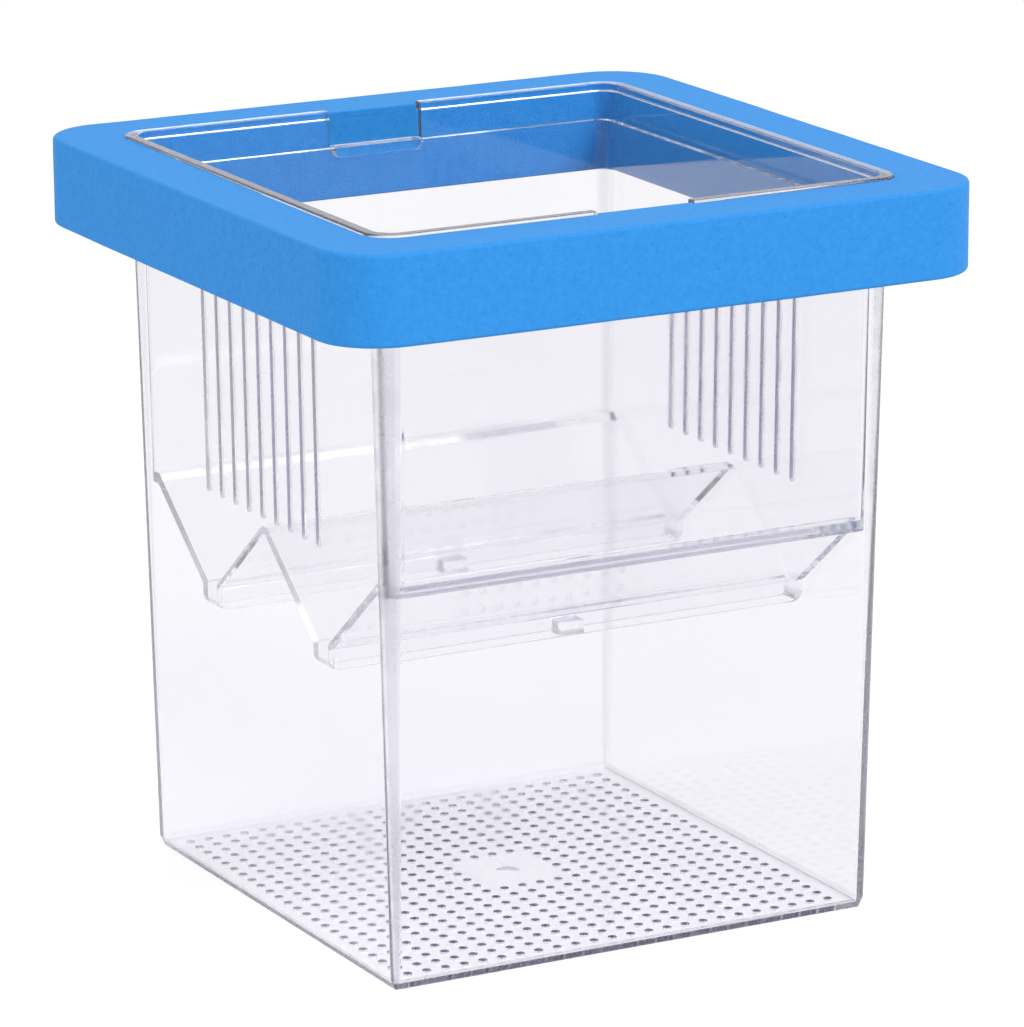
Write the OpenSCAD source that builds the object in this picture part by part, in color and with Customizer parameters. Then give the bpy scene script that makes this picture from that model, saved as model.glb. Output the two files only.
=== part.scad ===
// Floating fish breeding box: a clear outer box with a drained floor, a clear breeding
// chamber with a W shaped slotted bottom hanging inside it, and a foam float ring.
// Millimetres, +Z up, origin at the centre of the base.

/* [Outer box] */
// Width of the square base, outside
base_w = 118.5; // [100:0.5:150]
// Height of the rim above the base
box_h = 167; // [140:1:200]
// Thickness of the outer box's walls
box_wall = 1.6; // [1.2:0.1:2.2]
// Thickness of the outer box's floor
floor_t = 1.6; // [1.2:0.1:3]
// Draft of the outer box's walls, in degrees
box_draft = 1.3; // [1:0.05:1.5]
// Radius of the outer box's upright corners at the base; the draft widens it upwards
box_corner_r = 1.4; // [1.3:0.1:3]
// Radius of the corners inside the outer box, at its floor
box_inside_r = 0.4; // [0.2:0.1:2]
// How far the chamfer round the foot goes in
foot_in = 1; // [0.5:0.1:1.2]
// Height of the chamfer round the foot
foot_up = 2.4; // [1:0.1:3]
// How far the rim's lip stands out from the wall
lip_out = 1.2; // [0.8:0.1:2]
// Height of the rim's lip
lip_h = 2; // [1.5:0.1:3]

/* [Drained floor] */
// Distance between neighbouring drain holes
hole_pitch = 4.6; // [4:0.1:6]
// Diameter of a drain hole
hole_d = 2; // [1.2:0.1:2.4]
// Least distance from the wall to the centre of a drain hole
hole_margin = 3.6; // [3:0.1:8]
// Rows of holes left out at the centre for the gate pad
pad_rows = 4; // [2:2:8]
// Diameter of the gate dimple on the underside
dimple_d = 6; // [4:0.1:8]
// Depth of the gate dimple
dimple_depth = 0.4; // [0.3:0.1:0.8]

/* [Rim notches] */
// Width of the chamber's hanging tab
tab_w = 22.6; // [16:0.2:30]
// Thickness of the hanging tab
tab_t = 2.6; // [2:0.1:4]
// Radius of the tab's lower corners, and of the notch's
tab_r = 2; // [1:0.1:2]
// Play on each side of the tab in its notch
tab_play = 0.4; // [0.3:0.05:0.8]

/* [Float ring] */
// Width of the foam band
band_w = 15.4; // [12:0.1:24]
// Thickness of the foam ring
ring_t = 20; // [15:0.5:30]
// Radius of the ring's upright outer corners
ring_corner_r = 15; // [8:0.5:24]
// How far the box's rim stands above the foam
rim_proud = 0.5; // [0.2:0.1:1]
// Play between the ring and the box just under the lip
ring_play = 0.1; // [0.05:0.01:0.2]

/* [Breeding chamber] */
// How far the chamber's rim hangs below the box's rim
chamber_drop = 8; // [6:0.5:14]
// Depth from the chamber's rim to its ridge and shoulders
chamber_depth = 69.3; // [60:0.1:90]
// Thickness of the chamber's walls
chamber_wall = 1.6; // [1.2:0.1:2.2]
// Draft of the chamber's walls, in degrees
chamber_draft = 0.8; // [0.5:0.05:0.95]
// Radius of the chamber's upright corners at its lowest lips
chamber_corner_r = 3; // [2.2:0.1:5]
// Gap between the chamber and the box at the chamber's shoulders
chamber_gap = 0.6; // [0.5:0.05:1.5]
// Thickness of the shoulders that join the walls to the slopes
shoulder_t = 2.3; // [2:0.1:3]

/* [W shaped bottom] */
// Slope of the four ramps, in degrees
ramp_angle = 39; // [32:1:43]
// Thickness of a ramp
ramp_t = 1.5; // [1.2:0.1:2]
// Distance between the two drop slots
slot_spacing = 55.2; // [50:0.2:58]
// Clear width of a drop slot
slot_w = 4.8; // [4.4:0.1:6]
// Width of the flat on the middle ridge
ridge_w = 2.6; // [2:0.1:4]
// Thickness of the lips that hang beside each slot
slot_lip_t = 1.3; // [1:0.1:1.8]
// Height of those lips, from the foot of the ramps
slot_lip_h = 5.7; // [5:0.1:9]
// Radius of the lips' lower ends
slot_lip_r = 2.6; // [1.5:0.1:3.5]
// Length of the bridge that ties the two lips at mid length
bridge_len = 6; // [4:0.5:12]
// Height of that bridge
bridge_h = 3; // [2:0.1:4]

/* [Side slits] */
// Number of slits in each side wall
slit_count = 9; // [5:1:11]
// Distance between neighbouring slits
slit_pitch = 6.8; // [5:0.1:7.5]
// Width of a slit
slit_w = 1.5; // [1:0.1:2]
// Length of a slit
slit_len = 48; // [30:1:54]
// Height of the slits' lower ends above the ridge
slit_rise = 1.9; // [1:0.1:5]

/* [Hidden] */
arc_fn = 64;
small_fn = 24;
// Cuts run this far past the surface that they open
past = 1;
// Material added later is sunk this far into what carries it
sunk = 0.3;
// The seat of a hanging tab and of the lip, kept open by a hair
seat_gap = 0.05;
hair = 0.02;
// Play round the tab's outer end and the ring's recess
end_play = 0.3;

// Rounded to a thousandth, so that surfaces that meet do so at the same value
function thousandth(v) = round(v * 1000) / 1000;

// Outer box, as half widths at a height above the base
function box_out(z) = thousandth(base_w / 2 + z * tan(box_draft));
function box_in(z) = box_out(z) - box_wall;

// Distance from the middle to the centre of the box's corners, the same at every height
box_corner = base_w / 2 - box_corner_r;
lip_z = box_h - lip_h;
lip_half = box_out(lip_z) + lip_out;
lip_corner_r = lip_half - box_corner;
// Wider than anything that it is cut to
cut_half = lip_half + 10;

// Breeding chamber, from its rim down
chamber_rim = box_h - chamber_drop;
ridge_z = chamber_rim - chamber_depth;
shoulder_z = ridge_z - shoulder_t;
slot_y = slot_spacing / 2;
slot_in = slot_y - slot_w / 2;
slot_out = slot_y + slot_w / 2;
ramp_run = slot_in - ridge_w / 2;
ramp_drop = thousandth(ramp_run * tan(ramp_angle));
ramp_foot = ridge_z - ramp_drop;
ramp_top_y = slot_out + ramp_run;
lip_end = ramp_foot - slot_lip_h;
// Thickness of a ramp measured straight down
ramp_down = ramp_t / cos(ramp_angle);
shoulder_half = box_in(shoulder_z) - chamber_gap;
function chamber_out(z) = thousandth(shoulder_half + (z - shoulder_z) * tan(chamber_draft));
function chamber_in(z) = chamber_out(z) - chamber_wall;
chamber_corner = chamber_out(lip_end) - chamber_corner_r;

tab_z = chamber_rim - tab_t;
notch_z = tab_z - seat_gap;
notch_w = tab_w + 2 * tab_play;

// Float ring
ring_top = box_h - rim_proud;
ring_bottom = ring_top - ring_t;
ring_hole = box_out(lip_z) + ring_play;
ring_hole_r = ring_hole - box_corner;
ring_half = ring_hole + band_w;

// Rows of drain holes on each side of the middle, the first half a pitch away from it
hole_rows = floor((box_in(floor_t) - hole_margin) / hole_pitch + 0.5);

module rounded_square(half, r) {
    square([2 * half, 2 * (half - r)], center = true);
    square([2 * (half - r), 2 * half], center = true);
    for (sx = [-1, 1], sy = [-1, 1])
        translate([sx * (half - r), sy * (half - r)])
            circle(r = r, $fn = arc_fn);
}

// A square block with leaning sides. Each step is a height and the half width there, from the
// bottom up. Its corners are upright cones, whose centres stand at the distance corner.
module drafted_block(steps, corner) {
    right = [for (s = steps) [s[1], s[0]]];
    left = [for (i = [len(steps) - 1:-1:0]) [-steps[i][1], steps[i][0]]];
    for (turn = [0, 90])
        rotate([0, 0, turn])
            along_y(-corner, corner)
                polygon(concat(right, left));
    for (i = [0:len(steps) - 2], sx = [-1, 1], sy = [-1, 1])
        translate([sx * corner, sy * corner, steps[i][0]])
            cylinder(r1 = steps[i][1] - corner, r2 = steps[i + 1][1] - corner,
                h = steps[i + 1][0] - steps[i][0], $fn = arc_fn);
}

// The outline of a tab or a notch seen along Y, with its lower edge at z = 0
module tab_outline(w, h, r) {
    intersection() {
        translate([-w / 2, 0])
            square([w, h]);
        union() {
            translate([-w / 2, r])
                square([w, h]);
            translate([-w / 2 + r, 0])
                square([w - 2 * r, h]);
            for (s = [-1, 1])
                translate([s * (w / 2 - r), r])
                    circle(r = r, $fn = arc_fn);
        }
    }
}

// Stands an outline drawn in X and Z on its lower edge and runs it along Y from y0 to y1
module along_y(y0, y1) {
    translate([0, y1, 0])
        rotate([90, 0, 0])
            linear_extrude(height = y1 - y0)
                children();
}

// Stands an outline drawn in Y and Z upright and runs it along X, centred
module along_x(len) {
    rotate([90, 0, 90])
        linear_extrude(height = len, center = true)
            children();
}

module box_shell() {
    difference() {
        union() {
            drafted_block([[0, box_out(0) - foot_in], [foot_up, box_out(foot_up)], [box_h, box_out(box_h)]],
                box_corner);
            translate([0, 0, lip_z])
                linear_extrude(height = lip_h)
                    rounded_square(lip_half, lip_corner_r);
        }
        drafted_block([[floor_t, box_in(floor_t)], [box_h + past, box_in(box_h + past)]],
            box_in(floor_t) - box_inside_r);
    }
}

module drain_holes() {
    rows = [0.5 - hole_rows:hole_rows - 0.5];
    for (i = rows, j = rows)
        if (max(abs(i), abs(j)) > pad_rows / 2)
            translate([i * hole_pitch, j * hole_pitch, -past])
                cylinder(d = hole_d, h = floor_t + 2 * past, $fn = small_fn);
}

// A shallow spherical hollow where the plastic entered the mould
module gate_dimple() {
    dimple_r = (pow(dimple_d / 2, 2) + pow(dimple_depth, 2)) / (2 * dimple_depth);
    translate([0, 0, dimple_depth - dimple_r])
        sphere(r = dimple_r, $fn = arc_fn);
}

module rim_notches() {
    reach = lip_half + past;
    translate([0, 0, notch_z])
        along_y(-reach, reach)
            tab_outline(notch_w, box_h + past - notch_z, tab_r);
}

module outer_box() {
    color([0.93, 0.93, 0.96, 0.4])
        difference() {
            box_shell();
            drain_holes();
            gate_dimple();
            rim_notches();
        }
}

// One half of the lower face of the W, from the middle out
w_under = [
    [ridge_w / 2, ridge_z - ramp_t],
    [slot_in - slot_lip_t, ramp_foot + slot_lip_t * tan(ramp_angle) - ramp_down],
    [slot_in - slot_lip_t, lip_end],
    [slot_out + slot_lip_t, lip_end],
    [slot_out + slot_lip_t, ramp_foot + slot_lip_t * tan(ramp_angle) - ramp_down],
    [ramp_top_y - (shoulder_t - ramp_down) / tan(ramp_angle), shoulder_z]
];

// One half of its upper face, with the slot run out through the bottom
w_over = [
    [ridge_w / 2, ridge_z],
    [slot_in, ramp_foot],
    [slot_in, lip_end - past],
    [slot_out, lip_end - past],
    [slot_out, ramp_foot],
    [ramp_top_y, ridge_z]
];

function mirrored(pts) = [for (i = [len(pts) - 1:-1:0]) [-pts[i][0], pts[i][1]]];

// Everything above one face of the W, out to half and up to z
module w_profile(pts, half, edge_z, z) {
    polygon(concat([[-half, z], [-half, edge_z]], mirrored(pts), pts, [[half, edge_z], [half, z]]));
}

module chamber_block() {
    intersection() {
        drafted_block([[lip_end - past, chamber_out(lip_end - past)], [chamber_rim, chamber_out(chamber_rim)]],
            chamber_corner);
        along_x(2 * cut_half)
            w_profile(w_under, cut_half, shoulder_z, chamber_rim + past);
    }
}

module chamber_hollow() {
    low = lip_end - 2 * past;
    high = chamber_rim + past;
    intersection() {
        drafted_block([[low, chamber_in(low)], [high, chamber_in(high)]], chamber_corner);
        along_x(2 * cut_half)
            w_profile(w_over, cut_half, ridge_z, high + past);
    }
}

module side_slits() {
    for (i = [0:slit_count - 1])
        translate([0, (i - (slit_count - 1) / 2) * slit_pitch, ridge_z + slit_rise])
            along_x(2 * cut_half) {
                translate([-slit_w / 2, slit_w / 2])
                    square([slit_w, slit_len - slit_w]);
                for (z = [slit_w / 2, slit_len - slit_w / 2])
                    translate([0, z])
                        circle(d = slit_w, $fn = small_fn);
            }
}

// Takes the sharp lower corner off the ends of the lips. Its centre is moved out by the lean
// of the wall and a hair, so that the arc runs out into the wall.
module lip_end_rounding() {
    centre_x = thousandth(chamber_out(lip_end + slot_lip_r) - slot_lip_r + hair);
    reach = slot_out + slot_lip_t + past;
    for (turn = [0, 180])
        rotate([0, 0, turn])
            translate([centre_x, 0, lip_end + slot_lip_r])
                along_y(-reach, reach)
                    difference() {
                        translate([0, -slot_lip_r - past])
                            square([slot_lip_r + past, slot_lip_r + past]);
                        circle(r = slot_lip_r, $fn = arc_fn);
                    }
}

module slot_bridges() {
    for (s = [-1, 1])
        translate([-bridge_len / 2, s * slot_y - slot_w / 2 - sunk, lip_end])
            cube([bridge_len, slot_w + 2 * sunk, bridge_h]);
}

module hanging_tabs() {
    y0 = chamber_out(tab_z) - chamber_wall / 2;
    y1 = box_out(tab_z) - end_play;
    for (turn = [0, 180])
        rotate([0, 0, turn])
            translate([0, 0, tab_z])
                along_y(y0, y1)
                    tab_outline(tab_w, tab_t, tab_r);
}

module breeding_chamber() {
    color([0.90, 0.90, 0.95, 0.4])
        union() {
            difference() {
                chamber_block();
                chamber_hollow();
                side_slits();
                lip_end_rounding();
            }
            slot_bridges();
            hanging_tabs();
        }
}

// The lip sinks into the foam, except where the notches interrupt it
module lip_recess() {
    translate([0, 0, lip_z - seat_gap])
        linear_extrude(height = lip_h + past)
            difference() {
                rounded_square(lip_half + ring_play, lip_corner_r + ring_play);
                square([notch_w - 2 * end_play, 4 * lip_half], center = true);
            }
}

module float_ring() {
    color([0.22, 0.60, 0.93])
        difference() {
            translate([0, 0, ring_bottom])
                linear_extrude(height = ring_t)
                    difference() {
                        rounded_square(ring_half, ring_corner_r);
                        rounded_square(ring_hole, ring_hole_r);
                    }
            lip_recess();
        }
}

outer_box();
breeding_chamber();
float_ring();
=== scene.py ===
# Dresses the floating fish breeding box: a clear outer box with a drained floor,
# a clear breeding chamber hanging in it, and the blue foam ring that floats it.
import math

import bmesh
import bpy
from mathutils import Matrix, Vector, noise


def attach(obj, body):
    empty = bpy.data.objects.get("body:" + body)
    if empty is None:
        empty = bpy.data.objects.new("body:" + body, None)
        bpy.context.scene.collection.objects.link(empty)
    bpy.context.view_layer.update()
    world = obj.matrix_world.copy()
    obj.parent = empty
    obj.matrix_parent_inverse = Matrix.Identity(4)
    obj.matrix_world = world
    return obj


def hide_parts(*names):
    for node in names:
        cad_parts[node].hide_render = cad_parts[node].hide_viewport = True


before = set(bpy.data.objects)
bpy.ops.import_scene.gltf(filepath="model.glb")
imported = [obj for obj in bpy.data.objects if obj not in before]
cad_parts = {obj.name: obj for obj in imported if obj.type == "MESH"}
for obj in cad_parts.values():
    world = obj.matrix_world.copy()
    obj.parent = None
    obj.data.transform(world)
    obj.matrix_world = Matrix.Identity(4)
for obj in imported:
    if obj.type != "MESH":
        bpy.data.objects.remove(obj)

mm = 0.001
samePlace = 0.002 * mm      # points nearer than this are one point
scene = bpy.context.scene
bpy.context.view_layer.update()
print("frame loaded")


def hexColour(text):
    # sRGB hex to the linear colour that a shader wants
    parts = [int(text[i:i + 2], 16) / 255 for i in (1, 3, 5)]
    return [c / 12.92 if c <= 0.04045 else ((c + 0.055) / 1.055) ** 2.4 for c in parts] + [1.0]


def addNode(tree, kind, inputs=None, **settings):
    node = tree.nodes.new(kind)
    for name, value in settings.items():
        setattr(node, name, value)
    for key, value in (inputs or {}).items():
        if isinstance(value, bpy.types.NodeSocket):
            tree.links.new(value, node.inputs[key])
        else:
            node.inputs[key].default_value = value
    return node


def newMaterial(name):
    material = bpy.data.materials.new(name)
    material.use_nodes = True
    material.node_tree.nodes.clear()
    return material, material.node_tree


def addObject(name, mesh):
    made = bpy.data.objects.new(name, mesh)
    scene.collection.objects.link(made)
    return made


def bakeModifiers(made):
    # The evaluated result becomes the object's own plain mesh
    depsgraph = bpy.context.evaluated_depsgraph_get()
    baked = bpy.data.meshes.new_from_object(made.evaluated_get(depsgraph), depsgraph=depsgraph)
    made.modifiers.clear()
    made.data = baked


def settleShading(made, degrees):
    # Curved faces shade smooth, edges sharper than this stay crisp, and wide flats stay flat
    bm = bmesh.new()
    bm.from_mesh(made.data)
    bmesh.ops.remove_doubles(bm, verts=bm.verts, dist=samePlace / 2)
    bmesh.ops.recalc_face_normals(bm, faces=bm.faces)
    for face in bm.faces:
        face.smooth = True
    for edge in bm.edges:
        edge.smooth = edge.calc_face_angle(math.pi) < math.radians(degrees)
    openEdges = sum(1 for edge in bm.edges if len(edge.link_faces) != 2)
    bm.to_mesh(made.data)
    bm.free()
    made.modifiers.new("flats stay flat", "WEIGHTED_NORMAL").keep_sharp = True
    bakeModifiers(made)
    print(made.name, len(made.data.polygons), "faces, open edges", openEdges)


def roundedProfile(corners, steps):
    # Corners are (half width, height, fillet, corner axis). Each fillet becomes a short arc.
    points = []
    for i, (half, z, fillet, axis) in enumerate(corners):
        here = Vector((half, z))
        if fillet == 0:
            points.append((half, z, axis))
            continue
        before = (Vector(corners[i - 1][:2]) - here).normalized()
        after = (Vector(corners[(i + 1) % len(corners)][:2]) - here).normalized()
        opening = before.angle(after)
        centre = here + (before + after).normalized() * fillet / math.sin(opening / 2)
        start = here + before * fillet / math.tan(opening / 2) - centre
        end = here + after * fillet / math.tan(opening / 2) - centre
        for k in range(steps + 1):
            spoke = start.lerp(end, k / steps).normalized() * fillet
            points.append((centre.x + spoke.x, centre.y + spoke.y, axis))
    return points


def squareRing(half, z, axis, stops, cornerSteps):
    # One level of a square form with round corners; stops(side, axis) gives its points along a side
    radius = half - axis
    ring = []
    for side in range(4):
        spots = [(half, v) for v in stops(side, axis)]
        for k in range(1, cornerSteps):
            a = math.pi / 2 * k / cornerSteps
            spots.append((axis + radius * math.cos(a), axis + radius * math.sin(a)))
        c, s = ((1, 0), (0, 1), (-1, 0), (0, -1))[side]
        ring += [Vector((u * c - v * s, u * s + v * c, z)) * mm for u, v in spots]
    return ring


# The camera stands where the photograph was taken from, solved from the object's own edges
view = {
    "yaw": 28.297, "pitch": 14.822, "roll": -0.242,      # degrees
    "eye": (-625.6, -1165.7, 435.05),                     # mm
    "lens": 214.42,                                       # mm, with 36 mm along the picture's longer side
}


def makeCamera(values):
    yaw, pitch, roll = (math.radians(values[k]) for k in ("yaw", "pitch", "roll"))
    ahead = Vector((math.cos(pitch) * math.sin(yaw), math.cos(pitch) * math.cos(yaw), -math.sin(pitch)))
    level = ahead.cross(Vector((0, 0, 1))).normalized()
    rise = level.cross(ahead)
    right = level * math.cos(roll) + rise * math.sin(roll)
    up = rise * math.cos(roll) - level * math.sin(roll)
    camera = addObject("camera", bpy.data.cameras.new("camera"))
    camera.data.sensor_width = 36
    camera.data.lens = values["lens"]
    camera.data.clip_end = 30
    turn = Matrix((right, up, -ahead)).transposed().to_4x4()
    camera.matrix_world = Matrix.Translation(Vector(values["eye"]) * mm) @ turn
    scene.camera = camera


makeCamera(view)
print("camera set")


# Plain white studio
studio = {
    # floorHalf and floorDrop are in m. The lift is glow that only the lens and glass see, so that
    # white is white.
    "floorHalf": 6.0, "floorDrop": 0.00005, "floorColour": "#DEDEE0", "floorLift": 0.43,
    "lampsAim": (0, 0, 0.09), "bounces": 96, "clearBounces": 32,
    "skyColour": "#FFFFFF", "skyLight": 0.62,
    "lamps": {
        # place in m, size in m, power in W
        "keyLamp": ((1.1, -2.0, 2.2), 1.6, 36),
        "fillLamp": ((-2.2, -0.9, 1.6), 1.4, 12),
    },
}


def seenDirectly(tree):
    # 1 for camera, mirror and glass rays that haven't touched a matt surface, so they see
    # the white backdrop
    path = addNode(tree, "ShaderNodeLightPath")
    some = addNode(tree, "ShaderNodeMath", {
        0: path.outputs["Is Camera Ray"], 1: path.outputs["Is Glossy Ray"]}, operation="MAXIMUM")
    some = addNode(tree, "ShaderNodeMath", {
        0: some.outputs[0], 1: path.outputs["Is Transmission Ray"]}, operation="MAXIMUM")
    fresh = addNode(tree, "ShaderNodeMath", {0: path.outputs["Diffuse Depth"], 1: 0.5}, operation="LESS_THAN")
    seen = addNode(tree, "ShaderNodeMath", {0: some.outputs[0], 1: fresh.outputs[0]}, operation="MULTIPLY")
    return seen.outputs[0]


def makeStudio(values):
    world = bpy.data.worlds.new("studio")
    world.use_nodes = True
    tree = world.node_tree
    tree.nodes.clear()
    strength = addNode(tree, "ShaderNodeMapRange", {0: seenDirectly(tree), 3: values["skyLight"], 4: 1.0})
    sky = addNode(tree, "ShaderNodeBackground", {
        "Color": hexColour(values["skyColour"]), "Strength": strength.outputs[0]})
    addNode(tree, "ShaderNodeOutputWorld", {"Surface": sky.outputs[0]})
    scene.world = world

    bm = bmesh.new()
    h = values["floorHalf"]
    corners = ((-h, -h), (h, -h), (h, h), (-h, h))
    bm.faces.new([bm.verts.new((x, y, -values["floorDrop"])) for x, y in corners])
    mesh = bpy.data.meshes.new("studioFloor")
    bm.to_mesh(mesh)
    bm.free()
    # Matt painted board: even and pale, and it keeps the object's shadow
    material, tree = newMaterial("matt white studio board")
    board = addNode(tree, "ShaderNodeBsdfDiffuse", {"Color": hexColour(values["floorColour"])})
    lift = addNode(tree, "ShaderNodeMath", {
        0: seenDirectly(tree), 1: values["floorLift"]}, operation="MULTIPLY")
    glow = addNode(tree, "ShaderNodeEmission", {"Strength": lift.outputs[0]})
    both = addNode(tree, "ShaderNodeAddShader", {0: board.outputs[0], 1: glow.outputs[0]})
    addNode(tree, "ShaderNodeOutputMaterial", {"Surface": both.outputs[0]})
    mesh.materials.append(material)
    addObject("studioFloor", mesh)

    for name, (place, size, power) in values["lamps"].items():
        lamp = bpy.data.lights.new(name, "AREA")
        lamp.size = size
        lamp.energy = power
        made = addObject(name, lamp)
        aim = Vector(values["lampsAim"]) - Vector(place)
        made.matrix_world = Matrix.Translation(place) @ aim.to_track_quat("-Z", "Y").to_matrix().to_4x4()

    scene.view_settings.view_transform = "Standard"
    # Light runs far along inside the clear walls before it leaves them
    scene.cycles.max_bounces = values["bounces"]
    scene.cycles.transmission_bounces = values["bounces"]
    scene.cycles.glossy_bounces = values["bounces"]
    scene.cycles.transparent_max_bounces = values["clearBounces"]


makeStudio(studio)
print("studio lit")


# Moulded crystal polystyrene: brittle, glass clear, a little cool and grey where many faces lie
# behind each other, with faint flow waves and rub marks in its gloss
def clearPolystyrene(name, values):
    material, tree = newMaterial(name)
    place = addNode(tree, "ShaderNodeTexCoord").outputs["Object"]
    flow = addNode(tree, "ShaderNodeTexNoise", {
        "Vector": place, "Scale": 1 / (values["flowWave"] * mm), "Detail": 1.5})
    rub = addNode(tree, "ShaderNodeTexNoise", {
        "Vector": place, "Scale": 1 / (values["rubMark"] * mm), "Detail": 6.0})
    # Each face carries its finish, a tint (painted shade on some faces) and a gloss, because the body's
    # absorption needs one material all round
    tintWithPaintedShade = addNode(tree, "ShaderNodeAttribute", attribute_name="finishTintAndShade").outputs["Color"]
    finish = addNode(tree, "ShaderNodeAttribute", attribute_name="finishGloss").outputs["Vector"]
    finish = addNode(tree, "ShaderNodeSeparateXYZ", {0: finish})
    # The noise lies mostly between these two, so a face runs from its polished to its rubbed gloss
    gloss = addNode(tree, "ShaderNodeMapRange", {
        0: rub.outputs[0], 1: 0.42, 2: 0.68, 3: finish.outputs[0], 4: finish.outputs[1]})
    wave = addNode(tree, "ShaderNodeBump", {
        "Height": flow.outputs[0], "Strength": 1.0, "Distance": values["flowHeight"] * mm})
    plastic = addNode(tree, "ShaderNodeBsdfPrincipled", {
        "Base Color": tintWithPaintedShade, "Roughness": gloss.outputs[0], "Normal": wave.outputs[0],
        "IOR": 1.59, "Transmission Weight": 1.0, "Specular Tint": hexColour(values["mirror"])})
    # Lamps shine through the walls, a little weaker behind each face
    through = addNode(tree, "ShaderNodeBsdfTransparent", {"Color": hexColour(values["passed"])})
    path = addNode(tree, "ShaderNodeLightPath")
    both = addNode(tree, "ShaderNodeMixShader", {
        0: path.outputs["Is Shadow Ray"], 1: plastic.outputs[0], 2: through.outputs[0]})
    # Light that has run far inside a wall comes out greyer, which draws the edges
    body = addNode(tree, "ShaderNodeVolumeAbsorption", {
        "Color": hexColour(values["depthColour"]), "Density": values["depthDensity"]})
    addNode(tree, "ShaderNodeOutputMaterial", {"Surface": both.outputs[0], "Volume": body.outputs[0]})
    return material


def anyFace(spot, normal):
    return True


def finishFaces(made, finishes):
    # Edges and walls that the mould leaves duller show as soft lines: they are rougher, and some also carry a
    # darker tint that is painted shade. The first finish whose test a face passes is the face's own, and the
    # last one takes every face.
    colour = made.data.attributes.new("finishTintAndShade", "FLOAT_COLOR", "FACE")
    gloss = made.data.attributes.new("finishGloss", "FLOAT_VECTOR", "FACE")
    for face in made.data.polygons:
        look = next(look for look, fits in finishes if fits(face.center / mm, face.normal))
        colour.data[face.index].color = hexColour(look["colour"])
        gloss.data[face.index].vector = (look["polished"], look["rubbed"], 0)


# Outer box, in mm and degrees: the walls lean out, and their corners are cones round upright axes
outerBox = {
    "baseHalf": 59.25, "lean": 1.3, "wall": 1.6, "floor": 1.6,
    "outerAxis": 57.85, "innerAxis": 57.0, "cornerSteps": 12,
    "footHalf": 58.25, "footUp": 2.4,
    "rim": 167.0, "lipUnder": 165.0, "lipHalf": 64.194,
    "notchHalf": 11.7, "notchFloor": 156.35, "notchRound": 2.0, "notchEdge": 0.2,
    "dimpleHalf": 3.0, "dimpleDeep": 0.4, "dimpleSides": 32, "dimpleRows": 5,
    "holePitch": 4.6, "holeSize": 2.0, "holesAcross": 24, "padRows": 4, "holeSides": 16,
    # How far each duller finish reaches, and the turn in degrees past which an edge stays crisp
    "rimBand": 0.25, "notchBand": 0.2, "notchUnder": 0.1, "notchFrom": 60, "holesWithin": 55,
    "footBand": 0.5, "footFrom": 58.05, "crispFrom": 32, "bevelFrom": 60,
    "plastic": {"colour": "#F9F8FA", "mirror": "#808080", "passed": "#FAFAFC",
                "depthColour": "#CBCBD3", "depthDensity": 14.0, "flowWave": 26.0, "flowHeight": 0.01,
                "rubMark": 7.0, "polished": 0.015, "rubbed": 0.05},
    "mattRim": {"colour": "#FCFEFF", "polished": 0.1, "rubbed": 0.18},
    # The hole walls are rougher, and their darker lavender tint is painted shade in the holes
    "mattHolesPaintedShade": {"colour": "#A6A6BE", "polished": 0.25, "rubbed": 0.4},
    # The corners and the foot band are rougher, and their darker tint is painted shade that draws them as
    # grey lines
    "mattCornersPaintedShade": {"colour": "#EDEDF2", "polished": 0.2, "rubbed": 0.34},
}


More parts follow.
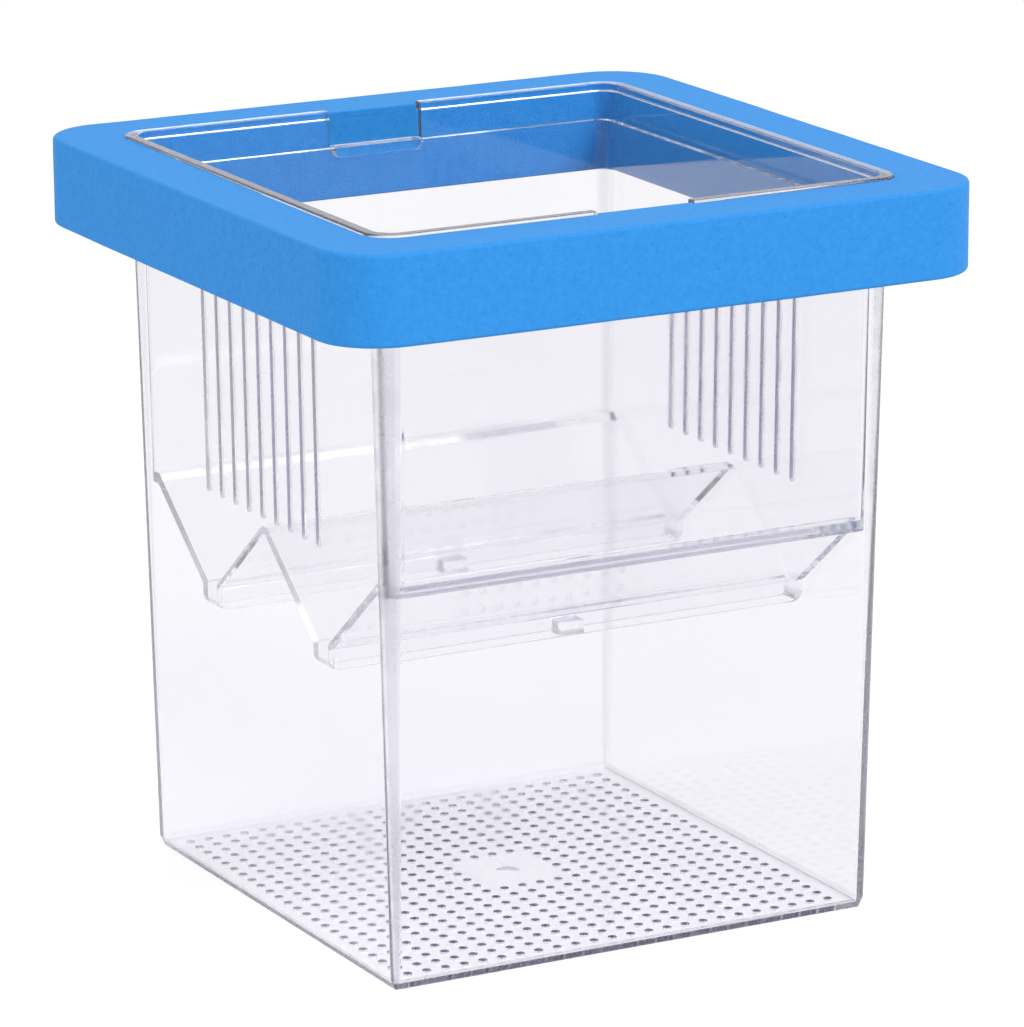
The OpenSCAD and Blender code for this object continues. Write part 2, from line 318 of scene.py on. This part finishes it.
def boxShell(values):
    lean = math.tan(math.radians(values["lean"]))
    outside = lambda z: values["baseHalf"] + z * lean
    inside = lambda z: outside(z) - values["wall"]
    floor, rim, inner, outer = values["floor"], values["rim"], values["innerAxis"], values["outerAxis"]
    # From the floor's edge inside, up over the rim and its lip, and down to the base
    corners = [
        (inner + 0.1, floor, 0, inner),
        (inside(floor), floor, 0.35, inner),
        (inside(rim), rim, 0.45, inner),
        (values["lipHalf"], rim, 0.5, outer),
        (values["lipHalf"], values["lipUnder"], 0.3, outer),
        (outside(values["lipUnder"]), values["lipUnder"], 0.25, outer),
        (outside(values["footUp"]), values["footUp"], 1.2, outer),
        (values["footHalf"], 0, 0.3, outer),
        (outer + 0.1, 0, 0, outer),
    ]
    low, r = values["notchFloor"], values["notchRound"]
    # Levels on both walls that carry the notch's round corners
    cuts = [low + r * (1 - math.cos(math.radians(a))) for a in (0, 22.5, 45, 67.5, 90)]
    profile = roundedProfile(corners, 4)
    top = max(range(len(profile)), key=lambda i: (profile[i][1], -profile[i][0]))
    up = [p for p in profile[:top] if p[1] < low] + [(inside(z), z, inner) for z in cuts]
    over = [p for p in profile if p[1] > low + r]
    down = [(outside(z), z, outer) for z in reversed(cuts)] + [p for p in profile[top:] if p[1] < low]
    levels = up + over + down
    first, last = len(up) - len(cuts), len(up) + len(over) + len(cuts) - 1

    def notchHalf(z):
        if z <= low:
            return values["notchHalf"] - r
        h = min(z - low, r)
        return values["notchHalf"] - r + math.sqrt(h * (2 * r - h))

    bm = bmesh.new()
    rings = []
    for half, z, axis in levels:
        n = notchHalf(z)
        stops = lambda side, a: (-a, -n, n, a) if side % 2 else (-a, a)
        rings.append([bm.verts.new(p) for p in squareRing(half, z, axis, stops, values["cornerSteps"])])
    count = len(rings[0])
    arc = values["cornerSteps"] - 1
    gaps = (2 + arc + 1, 8 + 3 * arc + 1)
    for i in range(len(rings) - 1):
        for c in range(count):
            if c in gaps and first <= i < last:
                continue
            d = (c + 1) % count
            bm.faces.new((rings[i][c], rings[i][d], rings[i + 1][d], rings[i + 1][c]))
    for c in gaps:
        bm.faces.new((rings[first][c], rings[first][c + 1], rings[last][c + 1], rings[last][c]))
        for column in (c, c + 1):
            for k in range(len(cuts) - 1):
                bm.faces.new((rings[first + k][column], rings[last - k][column],
                              rings[last - k - 1][column], rings[first + k + 1][column]))
            bm.faces.new([rings[i][column] for i in range(first + len(cuts) - 1, last - len(cuts) + 2)])

    # Gate dimple under the floor
    half, deep, sides = values["dimpleHalf"], values["dimpleDeep"], values["dimpleSides"]
    bow = (half ** 2 + deep ** 2) / (2 * deep)
    rows = []
    for k in range(values["dimpleRows"], 0, -1):
        reach = half * k / values["dimpleRows"]
        z = deep - bow + math.sqrt(bow ** 2 - reach ** 2)
        turns = [2 * math.pi * j / sides for j in range(sides)]
        rows.append([bm.verts.new(Vector((reach * math.cos(a), reach * math.sin(a), z)) * mm) for a in turns])
    crown = bm.verts.new((0, 0, deep * mm))
    for near, far in zip(rows, rows[1:]):
        for j in range(sides):
            bm.faces.new((near[j], near[(j + 1) % sides], far[(j + 1) % sides], far[j]))
    for j in range(sides):
        bm.faces.new((rows[-1][j], rows[-1][(j + 1) % sides], crown))
    bmesh.ops.recalc_face_normals(bm, faces=bm.faces)
    mesh = bpy.data.meshes.new("outerBox")
    bm.to_mesh(mesh)
    bm.free()
    return mesh


def drainedFloorTree(values):
    # Fills the open edges at the floor's two faces, and pierces it with rows of round holes
    tree = bpy.data.node_groups.new("drainedFloor", "GeometryNodeTree")
    face = tree.interface
    face.new_socket("Geometry", in_out="INPUT", socket_type="NodeSocketGeometry")
    for name, kind in (("Hole pitch", "Float"), ("Hole size", "Float"), ("Floor thickness", "Float"),
                       ("Holes across", "Int"), ("Pad rows", "Int"), ("Hole sides", "Int"),
                       ("Plastic", "Material")):
        face.new_socket(name, in_out="INPUT", socket_type="NodeSocket" + kind)
    face.new_socket("Geometry", in_out="OUTPUT", socket_type="NodeSocketGeometry")
    given = addNode(tree, "NodeGroupInput").outputs

    # Rows of places, less the gate pad at the middle
    gapsAcross = addNode(tree, "ShaderNodeMath", {0: given["Holes across"], 1: 1.0}, operation="SUBTRACT")
    width = addNode(tree, "ShaderNodeMath", {
        0: gapsAcross.outputs[0], 1: given["Hole pitch"]}, operation="MULTIPLY")
    grid = addNode(tree, "GeometryNodeMeshGrid", {
        "Size X": width.outputs[0], "Size Y": width.outputs[0],
        "Vertices X": given["Holes across"], "Vertices Y": given["Holes across"]})
    padWidth = addNode(tree, "ShaderNodeMath", {
        0: given["Pad rows"], 1: given["Hole pitch"]}, operation="MULTIPLY")
    padHalf = addNode(tree, "ShaderNodeMath", {0: padWidth.outputs[0], 1: 2.0}, operation="DIVIDE")
    position = addNode(tree, "GeometryNodeInputPosition")
    spot = addNode(tree, "ShaderNodeSeparateXYZ", {0: position.outputs[0]})
    farX = addNode(tree, "ShaderNodeMath", {0: spot.outputs[0]}, operation="ABSOLUTE")
    farY = addNode(tree, "ShaderNodeMath", {0: spot.outputs[1]}, operation="ABSOLUTE")
    far = addNode(tree, "ShaderNodeMath", {0: farX.outputs[0], 1: farY.outputs[0]}, operation="MAXIMUM")
    onPad = addNode(tree, "FunctionNodeCompare", {0: far.outputs[0], 1: padHalf.outputs[0]},
                    data_type="FLOAT", operation="LESS_THAN")
    places = addNode(tree, "GeometryNodeDeleteGeometry", {
        "Geometry": grid.outputs[0], "Selection": onPad.outputs[0]}, domain="POINT")

    # Round outlines for the two faces, and the hole walls between them
    holeHalf = addNode(tree, "ShaderNodeMath", {0: given["Hole size"], 1: 2.0}, operation="DIVIDE")
    outline = addNode(tree, "GeometryNodeCurvePrimitiveCircle", {
        "Resolution": given["Hole sides"], "Radius": holeHalf.outputs[0]})
    outlines = addNode(tree, "GeometryNodeInstanceOnPoints", {
        "Points": places.outputs[0], "Instance": outline.outputs[0]})
    outlines = addNode(tree, "GeometryNodeRealizeInstances", {0: outlines.outputs[0]})
    loop = addNode(tree, "GeometryNodeMeshCircle", {
        "Vertices": given["Hole sides"], "Radius": holeHalf.outputs[0]})
    rise = addNode(tree, "ShaderNodeCombineXYZ", {2: given["Floor thickness"]})
    sleeve = addNode(tree, "GeometryNodeExtrudeMesh", {
        "Mesh": loop.outputs[0], "Offset": rise.outputs[0], "Offset Scale": 1.0}, mode="EDGES")
    sleeves = addNode(tree, "GeometryNodeInstanceOnPoints", {
        "Points": places.outputs[0], "Instance": sleeve.outputs[0]})

    # The shell's open edges, sorted by height, bound the two faces
    sides = addNode(tree, "GeometryNodeInputMeshEdgeNeighbors")
    single = addNode(tree, "FunctionNodeCompare", {2: sides.outputs[0], 3: 1},
                     data_type="INT", operation="EQUAL")
    middle = addNode(tree, "ShaderNodeMath", {0: given["Floor thickness"], 1: 2.0}, operation="DIVIDE")
    filled = []
    for operation in ("GREATER_THAN", "LESS_THAN"):
        level = addNode(tree, "FunctionNodeCompare", {0: spot.outputs[2], 1: middle.outputs[0]},
                        data_type="FLOAT", operation=operation)
        rimEdges = addNode(tree, "FunctionNodeBooleanMath", {
            0: single.outputs[0], 1: level.outputs[0]}, operation="AND")
        bound = addNode(tree, "GeometryNodeMeshToCurve", {
            "Mesh": given["Geometry"], "Selection": rimEdges.outputs[0]})
        both = addNode(tree, "GeometryNodeJoinGeometry")
        tree.links.new(bound.outputs[0], both.inputs[0])
        tree.links.new(outlines.outputs[0], both.inputs[0])
        filled.append(addNode(tree, "GeometryNodeFillCurve", {"Curve": both.outputs[0]}))
    upper = addNode(tree, "GeometryNodeSetPosition", {
        "Geometry": filled[0].outputs[0], "Offset": rise.outputs[0]})
    under = addNode(tree, "GeometryNodeFlipFaces", {"Mesh": filled[1].outputs[0]})

    whole = addNode(tree, "GeometryNodeJoinGeometry")
    for part in (given["Geometry"], upper.outputs[0], under.outputs[0], sleeves.outputs[0]):
        tree.links.new(part, whole.inputs[0])
    whole = addNode(tree, "GeometryNodeRealizeInstances", {0: whole.outputs[0]})
    whole = addNode(tree, "GeometryNodeMergeByDistance", {
        "Geometry": whole.outputs[0], "Distance": 2.5 * samePlace})
    whole = addNode(tree, "GeometryNodeSetMaterial", {
        "Geometry": whole.outputs[0], "Material": given["Plastic"]})
    addNode(tree, "NodeGroupOutput", {0: whole.outputs[0]})
    return tree


def makeOuterBox(values):
    plastic = clearPolystyrene("clear moulded polystyrene, outer box", values["plastic"])
    made = addObject("outerBox", boxShell(values))
    edges = made.modifiers.new("notch edges", "BEVEL")
    edges.width = values["notchEdge"] * mm
    edges.segments = 2
    edges.limit_method = "ANGLE"
    edges.angle_limit = math.radians(values["bevelFrom"])
    floor = made.modifiers.new("drained floor", "NODES")
    floor.node_group = drainedFloorTree(values)
    sizes = {"Hole pitch": values["holePitch"] * mm, "Hole size": values["holeSize"] * mm,
             "Floor thickness": values["floor"] * mm, "Holes across": values["holesAcross"],
             "Pad rows": values["padRows"], "Hole sides": values["holeSides"], "Plastic": plastic}
    for socket in floor.node_group.interface.items_tree:
        if socket.in_out == "INPUT" and socket.name in sizes:
            floor[socket.identifier] = sizes[socket.name]
    bakeModifiers(made)
    settleShading(made, values["crispFrom"])

    def onRim(spot, normal):
        inNotch = (spot.z > values["notchFloor"] - values["notchUnder"] and abs(spot.y) > values["notchFrom"]
                   and abs(spot.x) < values["notchHalf"] + values["notchBand"])
        return spot.z > values["rim"] - values["rimBand"] or inNotch

    # Hole walls take a darker tint: painted shade in the holes
    def inShadedHole(spot, normal):
        isWall = spot.z < values["floor"] and abs(normal.z) < 0.1
        return isWall and max(abs(spot.x), abs(spot.y)) < values["holesWithin"]

    # The corners and the foot band take a darker tint: painted shade along the edges
    def onShadedCorner(spot, normal):
        onFoot = (spot.z < values["footUp"] + values["footBand"]
                  and max(abs(spot.x), abs(spot.y)) > values["footFrom"])
        return onFoot or min(abs(spot.x), abs(spot.y)) > values["outerAxis"]

    finishFaces(made, [(values["mattRim"], onRim), (values["mattHolesPaintedShade"], inShadedHole),
                       (values["mattCornersPaintedShade"], onShadedCorner), (values["plastic"], anyFace)])
    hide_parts("outer_box")
    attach(made, "outer_box")


makeOuterBox(outerBox)
print("outer box made")


# Breeding chamber: the drawn solid with its edges eased, as they leave the mould
chamber = {
    "edgeRound": 0.35, "rim": 159.0, "lipEnd": 64.65, "slitFrom": 91.0, "slitHalf": 28.5, "wallFrom": 56.5,
    # How far each duller finish reaches, and turns in degrees
    "rimBand": 0.2, "lipBand": 0.2, "flatFrom": 0.6, "bevelFrom": 30, "crispFrom": 32,
    "plastic": {"colour": "#FCFCFD", "mirror": "#808080", "passed": "#FAFAFC",
                "depthColour": "#CBCBD4", "depthDensity": 7.0, "flowWave": 22.0, "flowHeight": 0.01,
                "rubMark": 6.0, "polished": 0.015, "rubbed": 0.05},
    "mattRim": {"colour": "#FCFEFF", "polished": 0.1, "rubbed": 0.18},
    # The slit walls and the faces low down are rougher, and their darker lavender tint is painted shade
    "mattSlitsPaintedShade": {"colour": "#C8C8DA", "polished": 0.25, "rubbed": 0.4},
    # The edges at the ramps' ends are rougher, and their slightly darker tint is painted shade
    "mattEdgesPaintedShade": {"colour": "#F0F0F8", "polished": 0.25, "rubbed": 0.4},
}


def makeChamber(values):
    bm = bmesh.new()
    bm.from_mesh(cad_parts["breeding_chamber"].data)
    bmesh.ops.remove_doubles(bm, verts=bm.verts, dist=samePlace)
    bmesh.ops.dissolve_limit(bm, angle_limit=math.radians(values["flatFrom"]), verts=bm.verts, edges=bm.edges)
    mesh = bpy.data.meshes.new("breedingChamber")
    bm.to_mesh(mesh)
    bm.free()
    mesh.materials.clear()
    mesh.materials.append(clearPolystyrene("clear moulded polystyrene, chamber", values["plastic"]))
    made = addObject("breedingChamber", mesh)
    edges = made.modifiers.new("eased edges", "BEVEL")
    edges.width = values["edgeRound"] * mm
    edges.segments = 2
    edges.limit_method = "ANGLE"
    edges.angle_limit = math.radians(values["bevelFrom"])
    bakeModifiers(made)
    settleShading(made, values["crispFrom"])

    def onRim(spot, normal):
        return spot.z > values["rim"] - values["rimBand"]

    # The slit walls and the faces low down take a darker lavender tint: painted shade
    def inSlitOrLowShaded(spot, normal):
        inWall = (spot.z > values["slitFrom"] and abs(spot.y) < values["slitHalf"]
                  and abs(spot.x) > values["wallFrom"])
        return (inWall and abs(normal.y) > 0.2) or spot.z < values["lipEnd"] + values["lipBand"]

    def eased(spot, normal):
        # Walls, ramps and level faces are flat. Of what lies between, the edges at the ends of the
        # ramps are rougher and tinted darker as painted shade, and those along them keep the flats' finish.
        isWall = max(abs(normal.x), abs(normal.y)) > 0.99 or abs(normal.z) < 0.04
        return not (isWall or abs(normal.z) > 0.99 or abs(normal.x) < 0.02)

    finishFaces(made, [(values["mattRim"], onRim), (values["mattSlitsPaintedShade"], inSlitOrLowShaded),
                       (values["mattEdgesPaintedShade"], eased), (values["plastic"], anyFace)])
    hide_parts("breeding_chamber")
    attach(made, "breeding_chamber")


makeChamber(chamber)
print("breeding chamber made")


# Float ring, in mm: a cut and shaped band of foam with soft arrises, its hole closed round the box
floatRing = {
    "outerHalf": 78.494, "outerAxis": 63.494, "holeHalf": 63.094, "holeAxis": 57.85,
    "top": 166.5, "bottom": 146.5, "arris": 0.9,
    "recessHalf": 64.21, "recessFloor": 164.95, "tongueHalf": 11.4,
    "cornerSteps": 16, "stepsAlong": 13, "stepsTongue": 6,
    "unevenness": 0.16, "unevenScale": 14.0, "unevenFrom": 1.5, "unevenOver": 4,
    "stepUp": 3, "recessLip": 0.4, "recessSlack": 0.01, "tongueRise": 0.1, "crispFrom": 50,
    "foam": {"colour": "#33A2F6", "deep": "#2793ED", "pitShade": "#1F73CC",
             # Sizes in mm; pitless is the share of wide cells that haven't burst, and the pit colour is
             # painted shade in the burst cells, its strength set together with the dent's depth
             "cell": 0.45, "mottle": 1.3, "pitSpacing": 1.6, "pitSize": 0.21, "pitShadeAndDepth": 0.4,
             "pitless": 0.4, "mottleFrom": 0.3, "mottleTo": 0.75, "grainHeight": 0.12},
}


def closedCellFoam(name, values):
    # Cut polyethylene foam: matt and even azure, with fine closed cells and a few burst ones that carry
    # painted shade
    material, tree = newMaterial(name)
    place = addNode(tree, "ShaderNodeTexCoord").outputs["Object"]
    cells = addNode(tree, "ShaderNodeTexVoronoi", {"Vector": place, "Scale": 1 / (values["cell"] * mm)})
    mottle = addNode(tree, "ShaderNodeTexNoise", {
        "Vector": place, "Scale": 1 / (values["mottle"] * mm), "Detail": 5.0, "Roughness": 0.62})
    burst = addNode(tree, "ShaderNodeTexVoronoi", {"Vector": place, "Scale": 1 / (values["pitSpacing"] * mm)})
    tone = addNode(tree, "ShaderNodeMapRange", {
        0: mottle.outputs[0], 1: values["mottleFrom"], 2: values["mottleTo"]})
    skin = addNode(tree, "ShaderNodeMix", {
        0: tone.outputs[0], 6: hexColour(values["colour"]), 7: hexColour(values["deep"])}, data_type="RGBA")
    # Only some of the wider cells have burst, and each is a small dent with painted shade, a darker dot
    pick = addNode(tree, "ShaderNodeSeparateColor", {0: burst.outputs["Color"]})
    size = addNode(tree, "ShaderNodeMapRange", {
        0: pick.outputs[0], 1: values["pitless"], 2: 1.0, 3: 0.0, 4: values["pitSize"]})
    dot = addNode(tree, "ShaderNodeMath", {
        0: burst.outputs["Distance"], 1: size.outputs[0]}, operation="LESS_THAN")
    pitShadeAndDent = addNode(tree, "ShaderNodeMath", {0: dot.outputs[0], 1: values["pitShadeAndDepth"]}, operation="MULTIPLY")
    colour = addNode(tree, "ShaderNodeMix", {
        0: pitShadeAndDent.outputs[0], 6: skin.outputs[2], 7: hexColour(values["pitShade"])}, data_type="RGBA")
    relief = addNode(tree, "ShaderNodeMath", {
        0: cells.outputs["Distance"], 1: pitShadeAndDent.outputs[0]}, operation="SUBTRACT")
    grain = addNode(tree, "ShaderNodeBump", {
        "Height": relief.outputs[0], "Strength": 0.5, "Distance": values["grainHeight"] * mm})
    foam = addNode(tree, "ShaderNodeBsdfPrincipled", {
        "Base Color": colour.outputs[2], "Roughness": 0.85, "IOR": 1.5, "Normal": grain.outputs[0],
        "Sheen Weight": 0.08, "Sheen Roughness": 0.4})
    addNode(tree, "ShaderNodeOutputMaterial", {"Surface": foam.outputs[0]})
    return material


def makeFloatRing(values):
    hole, top, bottom = values["holeHalf"], values["top"], values["bottom"]
    outerAxis, holeAxis = values["outerAxis"], values["holeAxis"]
    outer, arris = values["outerHalf"], values["arris"]
    corners = [
        (hole, bottom, 0.4, holeAxis),
        (outer, bottom, arris, outerAxis),
        (outer, top, arris, outerAxis),
        (values["recessHalf"], top, 0.35, holeAxis),
        (values["recessHalf"], values["recessFloor"], 0, holeAxis),
        (hole, values["recessFloor"], 0.2, holeAxis),
    ]
    profile = roundedProfile(corners, 4)
    # Long faces get steps, so that the foam's unevenness shows in them
    stepped = []
    for a, b in zip(profile, profile[1:] + profile[:1]):
        parts = max(1, round(math.dist(a[:2], b[:2]) / values["stepUp"]))
        stepped += [tuple(p + (q - p) * k / parts for p, q in zip(a, b)) for k in range(parts)]

    tongue, outerSteps, midSteps = values["tongueHalf"], values["stepsAlong"], values["stepsTongue"]

    def stops(side, axis):
        far = [tongue + (axis - tongue) * k / outerSteps for k in range(outerSteps + 1)]
        near = [-tongue + 2 * tongue * k / midSteps for k in range(midSteps + 1)]
        return [-v for v in reversed(far)] + near + far

    arc = values["cornerSteps"] - 1
    perSide = 2 * (outerSteps + 1) + midSteps + 1 + arc
    bm = bmesh.new()
    rings = []
    for half, z, axis in stepped:
        ring = squareRing(half, z, axis, stops, values["cornerSteps"])
        inRecess = (half < values["recessHalf"] + values["recessLip"]
                    and z > values["recessFloor"] - values["recessSlack"])
        if inRecess:
            # At the box's two notches the foam stands up to its top without the recess
            height = max(z, values["recessFloor"] + values["tongueRise"] * (half - hole))
            filled = squareRing(hole + max(0, half - values["recessHalf"]), height,
                                axis, stops, values["cornerSteps"])
            for side in (1, 3):
                start = side * perSide + outerSteps + 1
                ring[start:start + midSteps + 1] = filled[start:start + midSteps + 1]
        rings.append([bm.verts.new(p) for p in ring])
    count = len(rings[0])
    for i in range(len(rings)):
        a, b = rings[i], rings[(i + 1) % len(rings)]
        for c in range(count):
            bm.faces.new((a[c], b[c], b[(c + 1) % count], a[(c + 1) % count]))
    bmesh.ops.remove_doubles(bm, verts=bm.verts, dist=samePlace)
    bmesh.ops.recalc_face_normals(bm, faces=bm.faces)
    # The outside and the top are a little uneven, always inwards
    bm.normal_update()
    for vert in bm.verts:
        reach = max(abs(vert.co.x), abs(vert.co.y)) / mm
        free = min(1, max(0, (reach - values["recessHalf"] - values["unevenFrom"]) / values["unevenOver"]))
        sway = noise.noise(vert.co / (values["unevenScale"] * mm)) * 0.5 - 0.5
        vert.co += vert.normal * sway * values["unevenness"] * free * mm
    mesh = bpy.data.meshes.new("floatRing")
    bm.to_mesh(mesh)
    bm.free()
    mesh.materials.append(closedCellFoam("blue closed-cell foam", values["foam"]))
    made = addObject("floatRing", mesh)
    settleShading(made, values["crispFrom"])
    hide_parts("float_ring")
    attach(made, "float_ring")


makeFloatRing(floatRing)
print("float ring made")
